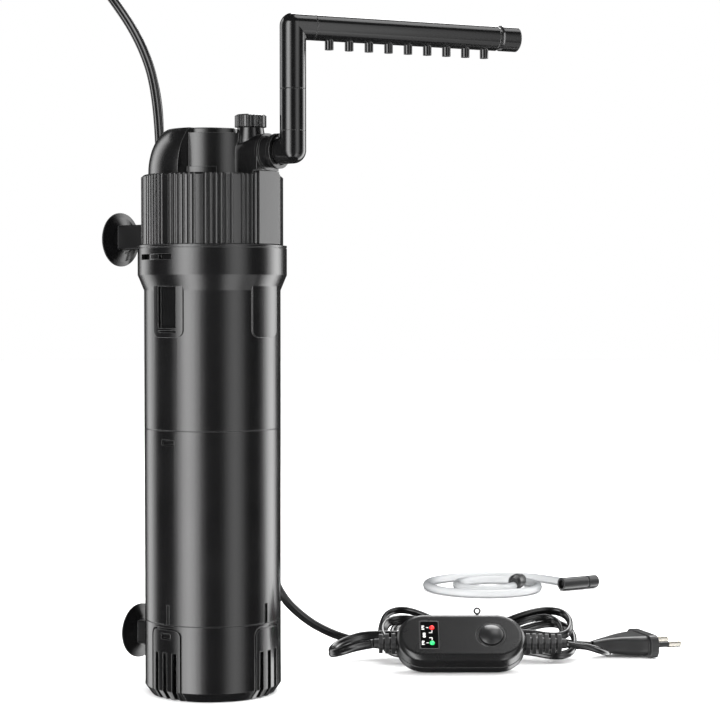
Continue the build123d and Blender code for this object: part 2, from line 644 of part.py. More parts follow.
def make_end_cap():
    cap = along_bar(ARM_R, CAP_START, CAP_END)
    cap = chamfer(cap.edges().filter_by(GeomType.CIRCLE), 0.6)
    cap += along_bar(ARM_R - 1.0, BAR_END + 0.1, CAP_START + 1)
    cap += along_bar(ARM_BORE - FIT, BAR_END - CAP_PLUG, BAR_END + 1)
    return cap - along_bar(4.2, BAR_END - CAP_PLUG - 1, CAP_START + 3)


# ---------------------------------------------------------------- controller
CASE = Location(tuple(yard(*CASE_AT[:2], CASE_AT[2])), (0, 0, YARD_AZIMUTH)) * Rot(CASE_TILT, 0, 0)


def stadium(length, width):
    return SlotOverall(length, width)


def make_case_halves():
    """The case's two shells, split a little below the middle, each with a 2 mm wall."""
    low, high = -CASE_HEIGHT / 2, CASE_HEIGHT / 2
    outside = Pos(0, 0, low) * extrude(stadium(CASE_LENGTH, CASE_WIDTH), CASE_HEIGHT)
    rims = outside.faces().filter_by(Axis.Z).edges()
    outside = fillet(rims, 3.5)
    inside = Pos(0, 0, low + 2) * extrude(stadium(CASE_LENGTH - 4, CASE_WIDTH - 4), CASE_HEIGHT - 4)
    shell = outside - inside
    top = shell & box((-60, 60), (-30, 30), (CASE_SPLIT + 0.25, 20))
    bottom = shell & box((-60, 60), (-30, 30), (-20, CASE_SPLIT - 0.25))
    lip_bore = stadium(CASE_LENGTH - 6.4, CASE_WIDTH - 6.4)
    seat = stadium(CASE_LENGTH - 3.0, CASE_WIDTH - 3.0) - lip_bore
    lip = stadium(CASE_LENGTH - 4.3, CASE_WIDTH - 4.3) - lip_bore
    bottom += Pos(0, 0, CASE_SPLIT - 2.5) * extrude(seat, 2.25)
    bottom += Pos(0, 0, CASE_SPLIT - 1) * extrude(lip, 2.8)
    lead_ways = box((-60, 60), (-5.0, 5.0), (-3.8, 3.8))
    top -= lead_ways
    bottom -= lead_ways
    top -= Pos(BUTTON_AT, 0, 0) * Cylinder(BUTTON_R + CLEAR, 40)
    top -= Pos(BUTTON_AT, 0, high) * (Cylinder(BUTTON_R + 2.0, 0.8) - Cylinder(BUTTON_R + 1.4, 2))
    top -= Pos(WINDOW_AT, 0, high) * Box(WINDOW[0] + 0.3, WINDOW[1] + 0.3, 2.4)
    top -= Pos(WINDOW_AT, 0, high - 2) * Box(WINDOW[0] - 2.5, WINDOW[1] - 2.5, 5)
    for x in (-SCREW_AT, SCREW_AT):
        bottom += Pos(x, 0, low + 3.9) * Cylinder(2.9, 4.4)
        bottom -= Pos(x, 0, low) * Cylinder(2.6, 2.0) + Pos(x, 0, low) * Cylinder(1.1, 20)
        top += Pos(x, 0, 2.6) * Cylinder(2.9, 8.0) - Pos(x, 0, 0) * Cylinder(0.85, 8.0)
    return CASE * top, CASE * bottom


def make_case_screws():
    low = -CASE_HEIGHT / 2
    screw = Pos(0, 0, low + 0.55) * Cylinder(2.2, 0.8) + Pos(0, 0, low + 4.2) * Cylinder(0.8, 7.4)
    screw -= Pos(0, 0, low) * (Box(3.2, 0.6, 1.0) + Box(0.6, 3.2, 1.0))
    return Compound(children=[CASE * Pos(x, 0, 0) * screw for x in (-SCREW_AT, SCREW_AT)])


def make_board():
    board = Pos(0, 0, 0.0) * Box(46.0, 24.0, 1.4)
    board += Pos(4.0, -5.0, 1.6) * Box(9.0, 7.0, 2.2) + Pos(-4.0, 7.0, 1.9) * Box(6.0, 6.0, 2.8)
    board += Pos(BUTTON_AT, 0, 2.0) * Box(6.0, 6.0, 2.8)
    return CASE * Pos(0, 0, -1.6) * board


def make_window():
    high = CASE_HEIGHT / 2
    plate = Pos(WINDOW_AT, 0, high - 0.55) * Box(*WINDOW, 1.2)
    return CASE * (plate - [Pos(LED_AT, y, high) * Cylinder(1.6, 4) for y in LEDS_ACROSS])


def make_leds():
    high = CASE_HEIGHT / 2
    led = Cylinder(1.5, 4.6) + Pos(0, 0, 2.3) * Sphere(1.5)
    return Compound(children=[CASE * Pos(LED_AT, y, high - 2.6) * led for y in LEDS_ACROSS])


def make_button():
    high = CASE_HEIGHT / 2
    ball = 14.0
    drop = ball - math.sqrt(ball**2 - BUTTON_R**2)
    dome = Pos(0, 0, high + 0.9 + drop - ball) * Sphere(ball) & Pos(0, 0, high) * Cylinder(BUTTON_R, 12)
    body = Pos(0, 0, high - 2.2) * Cylinder(BUTTON_R, 5.0) + (dome & Pos(0, 0, high + 3) * Box(30, 30, 7))
    body += Pos(0, 0, high - 3.0) * Cylinder(BUTTON_R + 1.0, 1.2)
    return CASE * Pos(BUTTON_AT, 0, 0) * body


def make_strain_relief(name):
    """A ribbed sleeve of oval section that tapers from the case towards the lead."""
    side, length = RELIEFS[name]
    start = CASE_LENGTH / 2 - 3.2
    end = CASE_LENGTH / 2 + length
    core = Plane.YZ.offset(start) * RectangleRounded(8.4, 6.2, 2.6)
    tip = Plane.YZ.offset(end) * RectangleRounded(5.6, 4.6, 2.0)
    relief = loft([core, tip])
    relief += Plane.YZ.offset(start) * extrude(RectangleRounded(9.6, 7.2, 2.4), 3.0)
    ribs = 3 if name == "left" else 6
    pitch = (length - 2.0) / ribs
    for k in range(ribs):
        grow = 1.0 - 0.45 * k / ribs
        x = CASE_LENGTH / 2 + 0.6 + k * pitch
        rib = RectangleRounded(8.6 + 2.4 * grow, 7.0 + 1.6 * grow, 2.2)
        relief += Plane.YZ.offset(x) * extrude(rib, pitch * 0.62)
    return CASE * (relief if side > 0 else Rot(0, 0, 180) * relief)


# ---------------------------------------------------------------- plug
PLUG = Location(tuple(yard(*PLUG_AT[:2], PLUG_AT[2])), (0, 0, YARD_AZIMUTH + PLUG_TURN))


def along_pin(side, radius, start, end):
    """A cylinder on a plug pin's axis. Distances are from the plug's face."""
    face = PLUG_BODY + PLUG_FLANGE[0]
    place = Pos(face + (start + end) / 2, side * PIN_SPACING / 2, 0) * Rot(0, 90, 0)
    return place * Cylinder(radius, end - start)


def make_plug_body():
    """A flat two-pole plug: a waisted grip that widens to its flange."""
    thick, wide, high = PLUG_FLANGE
    sections = [(0.0, 7.0, 6.0, 2.6), (9.0, 12.0, 9.0, 3.4), (20.0, 22.0, 11.2, 4.4)]
    sections.append((PLUG_BODY, 29.0, 12.0, 5.0))
    body = loft([Plane.YZ.offset(x) * RectangleRounded(w, h, r) for x, w, h, r in sections])
    body += Plane.YZ.offset(PLUG_BODY) * extrude(RectangleRounded(wide, high, 5.4), thick)
    body -= [along_pin(side, SLEEVE_R, -PIN_ROOT, 1.0) for side in (-1, 1)]
    return PLUG * body


def make_plug_pins():
    """Each pin has a bare tip and a thin core inside its sleeve."""
    pins = []
    for side in (-1, 1):
        tip = along_pin(side, PIN_R, SLEEVE_LENGTH, PIN_LENGTH)
        tip = fillet(tip.faces().sort_by(Axis.X)[-1].edges(), 1.2)
        pins.append(PLUG * (tip + along_pin(side, PIN_CORE_R, -PIN_ROOT, SLEEVE_LENGTH)))
    return Compound(children=pins)


def make_pin_sleeves():
    sleeves = []
    for side in (-1, 1):
        bore = along_pin(side, PIN_CORE_R, -PIN_ROOT - 1, SLEEVE_LENGTH + 1)
        sleeves.append(PLUG * (along_pin(side, SLEEVE_R, -PIN_ROOT, SLEEVE_LENGTH) - bore))
    return Compound(children=sleeves)


# ---------------------------------------------------------------- lead and hank
HANK = Location(tuple(yard(*HANK_AT, 0)), (0, 0, YARD_AZIMUTH))


def make_hank():
    """The folded lead's outer shape: a rounded slab with a waist where the tie goes round."""
    slab = Pos(0, 0, HANK_LIFT) * extrude(stadium(HANK_LENGTH, HANK_WIDTH), HANK_HEIGHT)
    slab = fillet(slab.edges(), HANK_CORNER)
    gap = box((-TIE_WIDTH, TIE_WIDTH), (-HANK_WIDTH, HANK_WIDTH), (-1, HANK_HEIGHT + 1))
    outline = RectangleRounded(WAIST[1], WAIST[0], 6.0)
    waist = Pos(0, 0, WAIST_Z) * Rot(0, 90, 0) * extrude(outline, 10.0, both=True)
    return HANK * ((slab - gap) + waist)


def make_tie():
    """A wire tie round the waist, with its twisted end on top."""
    outer = RectangleRounded(WAIST[1] + 1.9, WAIST[0] + 1.8, 6.8)
    inner = RectangleRounded(WAIST[1] + 0.2, WAIST[0] + 0.2, 6.1)
    band = Pos(0, 0, WAIST_Z) * Rot(0, 90, 0) * extrude(outer - inner, 1.2, both=True)
    twist = Pos(0, 3.0, WAIST_Z + WAIST[1] / 2 + 4.2) * Rot(-35, 0, 0) * Cylinder(1.1, 7.0)
    return HANK * (band + twist)


def along_yard(points):
    return [yard(*point) for point in points]


def hose_points():
    along, across = HOSE_AT
    points = []
    for degrees, radius in HOSE_TURNS:
        turn = math.radians(degrees)
        points.append((along + radius * math.cos(turn), across + radius * math.sin(turn), HOSE_R + 0.05))
    return along_yard(points)


def at_end(point, towards):
    """A location at a hose end whose +X axis points away from the hose."""
    heading = math.degrees(math.atan2(point.Y - towards.Y, point.X - towards.X))
    return Location(tuple(point), (0, 0, heading))


def make_regulator(points):
    """The air regulator's two halves: a barrel-shaped body and the cap that turns on it."""
    place = at_end(points[-1], points[-2])
    outline = [(2.2, 0.0), (3.4, 0.0), (5.1, 2.4), (5.6, 6.6), (5.3, 7.6), (2.2, 7.6)]
    face = make_face(Polyline(*[(z, r) for r, z in outline], close=True))
    body = revolve(face, Axis.X) + Pos(4.0, 0, 0) * Rot(0, 90, 0) * Cylinder(2.6, 7.0)
    body += Pos(10.5, 0, 0) * Rot(0, 90, 0) * Cylinder(1.6, 6.0)
    bore = 1.6 + RUNNING
    cap_outline = [(bore, 8.0), (5.3, 8.0), (5.6, 9.0), (5.0, 13.4), (3.2, 15.4), (bore, 15.4)]
    cap_face = make_face(Polyline(*[(z, r) for r, z in cap_outline], close=True))
    cap = revolve(cap_face, Axis.X)
    cap -= [Rot(k * 30, 0, 0) * Pos(11.0, 5.6, 0) * Box(5.0, 0.7, 0.9) for k in range(12)]
    lift = Pos(0, 0, 2.6)
    return lift * place * body, lift * place * cap


def make_venturi(points):
    """The T-shaped air injector: a stepped tube across the hose's end, with a barb into it."""
    place = at_end(points[0], points[1])
    lift = Pos(0, 0, 1.7)
    barb = Pos(4.0, 0, 0) * Rot(0, 90, 0) * Cylinder(1.9, 8.0)
    neck = Pos(7.0, 0, 0) * Rot(0, 90, 0) * Cylinder(3.0, 5.0)
    run = Pos(12.4, 0, 0) * Rot(90, 0, 0) * Cylinder(4.7, 32.0)
    groove = Pos(12.4, 7.0, 0) * Rot(90, 0, 0) * (Cylinder(6, 2.0) - Cylinder(4.0, 3))
    body = barb + neck + run - groove - Pos(12.4, 0, 0) * Rot(90, 0, 0) * Cylinder(1.9, 40.0)
    for end in (-16.0, 16.0):
        body -= Pos(12.4, end, 0) * Rot(90, 0, 0) * Cylinder(3.4, 7.0)
    return lift * place * body


def make_all():
    hose = hose_points()
    case_top, case_bottom = make_case_halves()
    regulator_body, regulator_cap = make_regulator(hose)
    return {
        "intake_base": make_intake_base(),
        "lower_barrel": make_lower_barrel(),
        "upper_barrel": make_upper_barrel(),
        "barrel_o_ring": make_barrel_o_ring(),
        "lower_media_grid": make_media_grid(BASE_TOP + GRID_LIFT),
        "upper_media_grid": make_media_grid(BARREL_JOINT + GRID_LIFT),
        "sponge_cartridge": make_sponge(),
        "ceramic_rings": make_ceramic_rings(),
        "floss_pad": make_floss_pad(),
        "upper_cup_bracket": make_cup_bracket("upper"),
        "lower_cup_bracket": make_cup_bracket("lower"),
        "upper_suction_cup": make_suction_cup("upper"),
        "lower_suction_cup": make_suction_cup("lower"),
        "pump_head_shell": make_pump_head(),
        "head_o_ring": make_head_o_ring(),
        "fluted_collar": make_collar(),
        "top_lid": make_top_lid(),
        "cord_gland": make_gland(),
        "flow_knob": make_flow_knob(),
        "flow_valve": make_flow_valve(),
        "stator_core": make_stator_core(),
        "stator_coils": make_stator_coils(),
        "motor_housing": make_motor_housing(),
        "impeller_cover": make_impeller_cover(),
        "rotor_magnet": make_rotor_magnet(),
        "impeller": make_impeller(),
        "impeller_shaft": make_shaft(),
        "shaft_bushes": make_bushes(),
        "lower_elbow": make_lower_elbow(),
        "riser_coupler": make_riser_coupler(),
        "upper_elbow": make_upper_elbow(),
        "spray_tube": make_spray_tube(),
        "spray_end_cap": make_end_cap(),
        "controller_top_case": case_top,
        "controller_bottom_case": case_bottom,
        "controller_screws": make_case_screws(),
        "controller_board": make_board(),
        "controller_button": make_button(),
        "indicator_window": make_window(),
        "indicator_leds": make_leds(),
        "left_strain_relief": make_strain_relief("left"),
        "right_strain_relief": make_strain_relief("right"),
        "plug_body": make_plug_body(),
        "plug_pins": make_plug_pins(),
        "plug_pin_sleeves": make_pin_sleeves(),
        "lead_tube": tube("lead_tube", along_yard(LEAD_ROUTE), CORD_R),
        "lead_left_tube": tube("lead_left_tube", along_yard(LEFT_ROUTE), CORD_R),
        "lead_right_tube": tube("lead_right_tube", along_yard(RIGHT_ROUTE), CORD_R),
        "lead_plug_tube": tube("lead_plug_tube", along_yard(PLUG_ROUTE), CORD_R),
        "lead_hank": make_hank(),
        "hank_tie": make_tie(),
        "air_hose": tube("air_hose", hose, HOSE_R),
        "regulator_body": regulator_body,
        "regulator_cap": regulator_cap,
        "air_venturi": make_venturi(hose),
    }


os.makedirs("parts", exist_ok=True)
for name, shape in make_all().items():
    export_step(shape, f"parts/{name}.step")
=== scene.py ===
import json
import math

import bmesh
import bpy
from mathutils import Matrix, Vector


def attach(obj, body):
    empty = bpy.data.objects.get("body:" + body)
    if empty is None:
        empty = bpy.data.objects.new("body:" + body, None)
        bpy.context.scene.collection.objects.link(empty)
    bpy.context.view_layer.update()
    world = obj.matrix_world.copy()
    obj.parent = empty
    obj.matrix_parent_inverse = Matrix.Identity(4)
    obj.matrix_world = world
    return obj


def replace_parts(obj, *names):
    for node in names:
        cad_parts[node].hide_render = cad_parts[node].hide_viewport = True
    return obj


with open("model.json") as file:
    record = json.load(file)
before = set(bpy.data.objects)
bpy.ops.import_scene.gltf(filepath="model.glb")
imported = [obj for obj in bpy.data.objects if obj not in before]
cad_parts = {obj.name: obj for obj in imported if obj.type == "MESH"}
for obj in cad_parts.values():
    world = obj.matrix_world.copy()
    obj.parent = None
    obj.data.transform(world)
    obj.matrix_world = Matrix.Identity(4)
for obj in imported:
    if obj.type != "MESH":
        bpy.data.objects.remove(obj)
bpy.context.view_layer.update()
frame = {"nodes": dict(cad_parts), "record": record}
NODES = frame["nodes"]
SCENE = bpy.context.scene
MM = 0.001

# The lead, its controller and the air hose are laid out along this azimuth, as in the CAD model.
YARD_AZIMUTH = math.radians(-54.0)

# ---- cord facts, in millimetres: along the yard, across it, height
LEAD_WIDTH = 5.4
LEAD_THICK = 3.3
HANK_AT = (152.0, 97.0)
LEAD_ROUTE = [
    (-30.1, 13.8, 301.0), (-31.2, 14.6, 331.0), (-41.0, 18.5, 361.0), (-60.0, 28.0, 389.0),
    (-78.0, 42.0, 410.0), (-85.0, 66.0, 426.0), (-84.6, 90.0, 418.0), (-68.6, 96.0, 399.7),
    (-48.3, 86.0, 369.8), (-37.6, 78.0, 337.5), (-35.9, 72.0, 305.4), (-33.0, 70.0, 278.0),
    (-23.0, 69.0, 248.0), (-10.0, 67.0, 210.0), (2.0, 66.0, 170.0), (12.0, 66.0, 128.0),
    (20.0, 68.0, 84.0), (32.0, 75.0, 44.0), (48.0, 84.0, 26.0), (66.0, 92.0, 15.0),
    (82.0, 98.0, 10.0), (95.0, 102.0, 8.5),
]
LEFT_ROUTE = [
    (89.5, 58.5, 15.8), (79.5, 58.7, 14.2), (69.5, 61.5, 10.5), (63.5, 69.5, 8.0),
    (65.5, 80.5, 10.0), (75.0, 88.0, 13.5), (87.5, 90.6, 16.0), (98.0, 91.2, 17.0),
]
RIGHT_ROUTE = [
    (201.5, 58.5, 15.8), (211.5, 58.8, 14.4), (221.5, 61.5, 11.0), (227.5, 69.5, 8.0),
    (225.5, 80.5, 8.0), (216.0, 88.0, 9.5), (205.0, 90.0, 10.5),
]
PLUG_ROUTE = [(207.0, 99.5, 8.4), (214.5, 100.0, 7.6), (222.0, 101.8, 6.95)]
HOSE_AT = (176.0, 390.0)
HOSE_R = 3.0
HOSE_LIFT = 0.05
HOSE_TURNS = [
    (8, 63.0), (42, 59.0), (78, 51.5), (116, 47.5), (154, 46.5), (192, 47.5),
    (232, 50.0), (272, 50.5), (312, 46.5), (352, 41.0), (392, 35.0), (434, 29.5),
    (478, 25.5), (524, 24.0), (572, 25.0), (620, 26.5), (664, 24.0), (700, 21.0),
]


def yard(along, across, height=0.0):
    """A place beside the filter given in millimetres, in the row's frame in metres."""
    x = along * math.cos(YARD_AZIMUTH) - across * math.sin(YARD_AZIMUTH)
    y = along * math.sin(YARD_AZIMUTH) + across * math.cos(YARD_AZIMUTH)
    return Vector((x, y, height)) * MM


# ---------------------------------------------------------------- camera
CAMERA_ALONG = 81.3
CAMERA_BACK = 1103.0
CAMERA_HEIGHT = 216.2
CAMERA_DOWN = math.radians(1.72)
LENS = 100.0
SENSOR = 36.0
CLIP = (0.01, 50.0)


def make_camera():
    data = bpy.data.cameras.new("camera")
    data.lens = LENS
    data.sensor_width = SENSOR
    data.clip_start, data.clip_end = CLIP
    camera = bpy.data.objects.new("camera", data)
    camera.location = yard(CAMERA_ALONG, -CAMERA_BACK, CAMERA_HEIGHT)
    camera.rotation_euler = (math.pi / 2 - CAMERA_DOWN, 0.0, YARD_AZIMUTH)
    SCENE.collection.objects.link(camera)
    SCENE.camera = camera


make_camera()


# ---------------------------------------------------------------- material kit
BEVEL_SAMPLES = 6
# How far two normals agree, as the cosine between them: on an edge, and on an open face.
ON_EDGE = 0.80
OFF_EDGE = 0.985
# Where the sockets of a colour Mix node are.
MIX_FACTOR, MIX_A, MIX_B, MIX_OUT = 0, 6, 7, 2


class Nodes:
    """Short names for building a node material round one Principled shader."""

    def __init__(self, name):
        self.material = bpy.data.materials.new(name)
        self.material.use_nodes = True
        self.tree = self.material.node_tree
        self.shader = self.tree.nodes["Principled BSDF"]
        self.place = self.new("ShaderNodeTexCoord").outputs["Object"]

    def new(self, kind, **settings):
        node = self.tree.nodes.new(kind)
        for key, value in settings.items():
            setattr(node, key, value)
        return node

    def link(self, source, target):
        self.tree.links.new(source, target)

    def set(self, **values):
        for key, value in values.items():
            self.shader.inputs[key.replace("_", " ")].default_value = value

    def noise(self, scale, detail=3.0, rough=0.55, stretch=None):
        node = self.new("ShaderNodeTexNoise")
        node.inputs["Scale"].default_value = scale
        node.inputs["Detail"].default_value = detail
        node.inputs["Roughness"].default_value = rough
        if stretch is None:
            self.link(self.place, node.inputs["Vector"])
        else:
            mapping = self.new("ShaderNodeMapping")
            mapping.inputs["Scale"].default_value = stretch
            self.link(self.place, mapping.inputs["Vector"])
            self.link(mapping.outputs["Vector"], node.inputs["Vector"])
        return node.outputs["Fac"]

    def ramp(self, source, low, high, start=0.0, end=1.0):
        """Map a 0 to 1 value onto low to high."""
        node = self.new("ShaderNodeMapRange")
        node.inputs["From Min"].default_value = start
        node.inputs["From Max"].default_value = end
        node.inputs["To Min"].default_value = low
        node.inputs["To Max"].default_value = high
        self.link(source, node.inputs["Value"])
        return node.outputs["Result"]

    def colours(self, source, dark, light, start=0.0, end=1.0):
        node = self.new("ShaderNodeValToRGB")
        node.color_ramp.elements[0].position = start
        node.color_ramp.elements[0].color = (*dark, 1.0)
        node.color_ramp.elements[1].position = end
        node.color_ramp.elements[1].color = (*light, 1.0)
        self.link(source, node.inputs["Fac"])
        return node.outputs["Color"]

    def rounded(self, radius):
        """The normal of a surface whose edges are rounded to a radius."""
        bevel = self.new("ShaderNodeBevel", samples=BEVEL_SAMPLES)
        bevel.inputs["Radius"].default_value = radius
        return bevel.outputs["Normal"]

    def edges(self, radius):
        """1 along sharp edges and 0 on open faces."""
        face = self.new("ShaderNodeNewGeometry")
        dot = self.new("ShaderNodeVectorMath", operation="DOT_PRODUCT")
        self.link(self.rounded(radius), dot.inputs[0])
        self.link(face.outputs["Normal"], dot.inputs[1])
        return self.ramp(dot.outputs["Value"], 1.0, 0.0, ON_EDGE, OFF_EDGE)

    def mix(self, factor, colour, other):
        """A linked colour, turned into another one where the factor is 1."""
        node = self.new("ShaderNodeMix", data_type="RGBA")
        self.link(factor, node.inputs[MIX_FACTOR])
        self.link(colour, node.inputs[MIX_A])
        node.inputs[MIX_B].default_value = (*other, 1.0)
        return node.outputs[MIX_OUT]

    def bump(self, height, distance, edge=0.0):
        """Relief from a height, over softly rounded edges where edge is more than 0."""
        node = self.new("ShaderNodeBump")
        node.inputs["Distance"].default_value = distance
        self.link(height, node.inputs["Height"])
        if edge > 0:
            self.link(self.rounded(edge), node.inputs["Normal"])
        self.link(node.outputs["Normal"], self.shader.inputs["Normal"])


def plastic(
    name, tone, rough, grain=1400.0, depth=0.00002, vary=0.04, edge=0.0004, specular=0.5, edge_highlight_and_wear=0.06,
):
    """Moulded black plastic: fine grain, uneven gloss and softly rounded edges, painted a lighter tone
    along every edge and crease: a painted highlight there, and a little wear.
    """
    n = Nodes(name)
    cloud = n.noise(26.0, 4.0)
    fine = n.noise(grain, 2.0)
    dark = (tone * 0.86, tone * 0.86, tone * 0.9)
    light = (tone * 1.14, tone * 1.14, tone * 1.18)
    colour = n.colours(cloud, dark, light, 0.3, 0.7)
    # Edges and creases are painted lighter: a painted edge highlight, partly wear.
    if edge > 0:
        colour = n.mix(n.edges(edge), colour, (edge_highlight_and_wear, edge_highlight_and_wear, edge_highlight_and_wear))
    n.link(colour, n.shader.inputs["Base Color"])
    n.link(n.ramp(cloud, rough - vary, rough + vary, 0.25, 0.75), n.shader.inputs["Roughness"])
    n.set(Specular_IOR_Level=specular)
    n.bump(fine, depth, edge)
    return n.material


def plain(name, colour, rough, metallic=0.0, grain=900.0, depth=0.00003, shade=0.15):
    """A simple solid material with a fine surface and a little unevenness."""
    n = Nodes(name)
    cloud = n.noise(60.0, 3.0)
    dark = tuple(c * (1 - shade) for c in colour)
    light = tuple(min(1.0, c * (1 + shade)) for c in colour)
    n.link(n.colours(cloud, dark, light, 0.3, 0.7), n.shader.inputs["Base Color"])
    n.link(n.ramp(cloud, rough * 0.85, min(1.0, rough * 1.15)), n.shader.inputs["Roughness"])
    n.set(Metallic=metallic)
    n.bump(n.noise(grain, 2.0), depth)
    return n.material


def foam(name, dark, light, cell):
    """Open-cell foam or floss."""
    n = Nodes(name)
    cells = n.new("ShaderNodeTexVoronoi")
    cells.inputs["Scale"].default_value = cell
    n.link(n.place, cells.inputs["Vector"])
    n.link(n.colours(cells.outputs["Distance"], dark, light), n.shader.inputs["Base Color"])
    n.set(Roughness=0.95)
    n.bump(cells.outputs["Distance"], 0.0006)
    return n.material


def laminations(name):
    """Thin steel sheets stacked along Z."""
    n = Nodes(name)
    wave = n.new("ShaderNodeTexWave", bands_direction="Z")
    wave.inputs["Scale"].default_value = 300.0
    n.link(n.place, wave.inputs["Vector"])
    steel = n.colours(wave.outputs["Fac"], (0.22, 0.22, 0.24), (0.5, 0.5, 0.52))
    n.link(steel, n.shader.inputs["Base Color"])
    n.set(Metallic=1.0, Roughness=0.42)
    n.bump(wave.outputs["Fac"], 0.00008)
    return n.material


def windings(name):
    """Copper wire wound turn by turn."""
    n = Nodes(name)
    wave = n.new("ShaderNodeTexWave", bands_direction="Y")
    wave.inputs["Scale"].default_value = 700.0
    n.link(n.place, wave.inputs["Vector"])
    copper = n.colours(wave.outputs["Fac"], (0.30, 0.10, 0.04), (0.78, 0.36, 0.16))
    n.link(copper, n.shader.inputs["Base Color"])
    n.set(Metallic=0.8, Roughness=0.32)
    n.bump(wave.outputs["Fac"], 0.0001)
    return n.material


# The height, in millimetres, between the two lamps.
LED_SPLIT = 21.6
LED_BLEND = 0.1


def led_lens(name):
    """Two tinted lenses: the upper one red, the lower one green."""
    n = Nodes(name)
    parts = n.new("ShaderNodeSeparateXYZ")
    n.link(n.place, parts.inputs["Vector"])
    step = n.ramp(parts.outputs["Z"], 0.0, 1.0, (LED_SPLIT - LED_BLEND) * MM, (LED_SPLIT + LED_BLEND) * MM)
    colour = n.colours(step, (0.02, 0.60, 0.14), (0.80, 0.02, 0.02))
    n.link(colour, n.shader.inputs["Base Color"])
    n.link(colour, n.shader.inputs["Emission Color"])
    n.set(Emission_Strength=0.45, Roughness=0.2)
    return n.material


def silicone(name):
    """Milky translucent hose, with painted shade: its colour darkens from where the wall faces the view to
    where it is seen edge on.
    """
    n = Nodes(name)
    # Painted shade: the colour darkens where the wall turns edge on to the view.
    facing = n.new("ShaderNodeLayerWeight")
    facing.inputs["Blend"].default_value = 0.35
    colour = n.colours(facing.outputs["Facing"], (0.36, 0.365, 0.37), (0.09, 0.095, 0.10), 0.1, 0.9)
    n.link(colour, n.shader.inputs["Base Color"])
    n.link(n.ramp(n.noise(120.0, 3.0), 0.24, 0.36), n.shader.inputs["Roughness"])
    n.set(IOR=1.41)
    return n.material


def nickel(name):
    """Plated pins with a fine rub along them."""
    n = Nodes(name)
    rub = n.noise(900.0, 3.0, stretch=(1.0, 1.0, 4.0))
    n.link(n.colours(rub, (0.62, 0.58, 0.50), (0.86, 0.83, 0.76)), n.shader.inputs["Base Color"])
    n.link(n.ramp(rub, 0.14, 0.26), n.shader.inputs["Roughness"])
    n.set(Metallic=1.0)
    n.bump(rub, 0.00001)
    return n.material


MATERIALS = {
    "barrel_black": plastic("barrel_black", 0.003, 0.18, grain=1100.0, depth=0.00002),
    "head_black": plastic("head_black", 0.003, 0.18, grain=1300.0, depth=0.00001),
    "collar_black": plastic("collar_black", 0.0035, 0.15, grain=1500.0, depth=0.000006, edge=0.0003),
    # The bracket's edges are painted lighter than the others': painted edge highlights, partly wear.
    "bracket_black": plastic("bracket_black", 0.003, 0.40, edge=0.0006, specular=0.22, edge_highlight_and_wear=0.12),
    "arm_black": plastic("arm_black", 0.003, 0.14, grain=900.0, depth=0.000005, vary=0.03),
    "cup_rubber": plastic(
        "cup_rubber", 0.003, 0.15, grain=500.0, depth=0.000004, vary=0.03, edge=0.0006, specular=0.22,
    ),
    "seal_rubber": plastic("seal_rubber", 0.01, 0.5),
    "inner_plastic": plastic("inner_plastic", 0.09, 0.45),
    "sponge_foam": foam("sponge_foam", (0.01, 0.03, 0.09), (0.05, 0.14, 0.36), 900.0),
    "floss": foam("floss", (0.55, 0.55, 0.50), (0.90, 0.90, 0.86), 1400.0),
    "media_ceramic": plain("media_ceramic", (0.78, 0.72, 0.62), 0.9, grain=700.0, depth=0.0003),
    "potting_resin": plain("potting_resin", (0.03, 0.03, 0.03), 0.35),
    "core_steel": laminations("core_steel"),
    "coil_copper": windings("coil_copper"),
    "magnet_ferrite": plain("magnet_ferrite", (0.07, 0.07, 0.075), 0.6),
    "shaft_ceramic": plain("shaft_ceramic", (0.86, 0.86, 0.84), 0.15),
    "case_black": plastic("case_black", 0.0035, 0.26, grain=1700.0, depth=0.00002, edge=0.0006),
    "button_black": plastic("button_black", 0.0065, 0.32, grain=1700.0, depth=0.00002),
    "board_green": plain("board_green", (0.02, 0.18, 0.07), 0.4),
    "window_gloss": plastic(
        "window_gloss", 0.002, 0.08, grain=300.0, depth=0.000002, vary=0.02, edge=0.0002,
    ),
    "led_lens": led_lens("led_lens"),
    "relief_black": plastic("relief_black", 0.007, 0.36, grain=1500.0, depth=0.00002),
    "plug_black": plastic("plug_black", 0.0075, 0.36, grain=1500.0, depth=0.00004),
    "pin_nickel": nickel("pin_nickel"),
    "screw_steel": plain("screw_steel", (0.6, 0.6, 0.62), 0.3, metallic=1.0),
    "lead_black": plastic("lead_black", 0.004, 0.20, grain=420.0, depth=0.00001, vary=0.05, edge=0.0),
    "tie_black": plastic("tie_black", 0.006, 0.30, edge=0.0),
    "hose_silicone": silicone("hose_silicone"),
    "air_fitting": plastic("air_fitting", 0.007, 0.30),
}


def dress_nodes():
    """Give every CAD node the material of its slot."""
    for entry in frame["record"]["subparts"]:
        obj = NODES[entry["node"]]
        obj.data.materials.clear()
        obj.data.materials.append(MATERIALS[entry["material_slot"]])


dress_nodes()


# ---------------------------------------------------------------- cords
LINE_STEPS = 10
CORE_STEPS = 12
CORE_WRAP = math.radians(115.0)


def link(obj, slot):
    """Put a new piece in the scene, riding on the pump head and with its slot's finish."""
    SCENE.collection.objects.link(obj)
    obj.data.materials.append(MATERIALS[slot])
    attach(obj, "pump_head")
    return obj


def route_curve(name, points):
    """The cord's own line: an open NURBS spline with the route's points as its control points."""
    curve = bpy.data.curves.new(name, "CURVE")
    curve.dimensions = "3D"
    spline = curve.splines.new("NURBS")
    spline.points.add(len(points) - 1)
    for control, point in zip(spline.points, points):
        control.co = (*point, 1.0)
    spline.order_u = 3
    spline.use_endpoint_u = True
    spline.resolution_u = LINE_STEPS
    return bpy.data.objects.new(name, curve)


def read_line(points):
    """Points along the route's NURBS spline, as Blender evaluates it."""
    guide = route_curve("guide", points)
    SCENE.collection.objects.link(guide)
    mesh = bpy.data.meshes.new_from_object(guide)
    line = [v.co.copy() for v in mesh.vertices]
    bpy.data.objects.remove(guide)
    return line


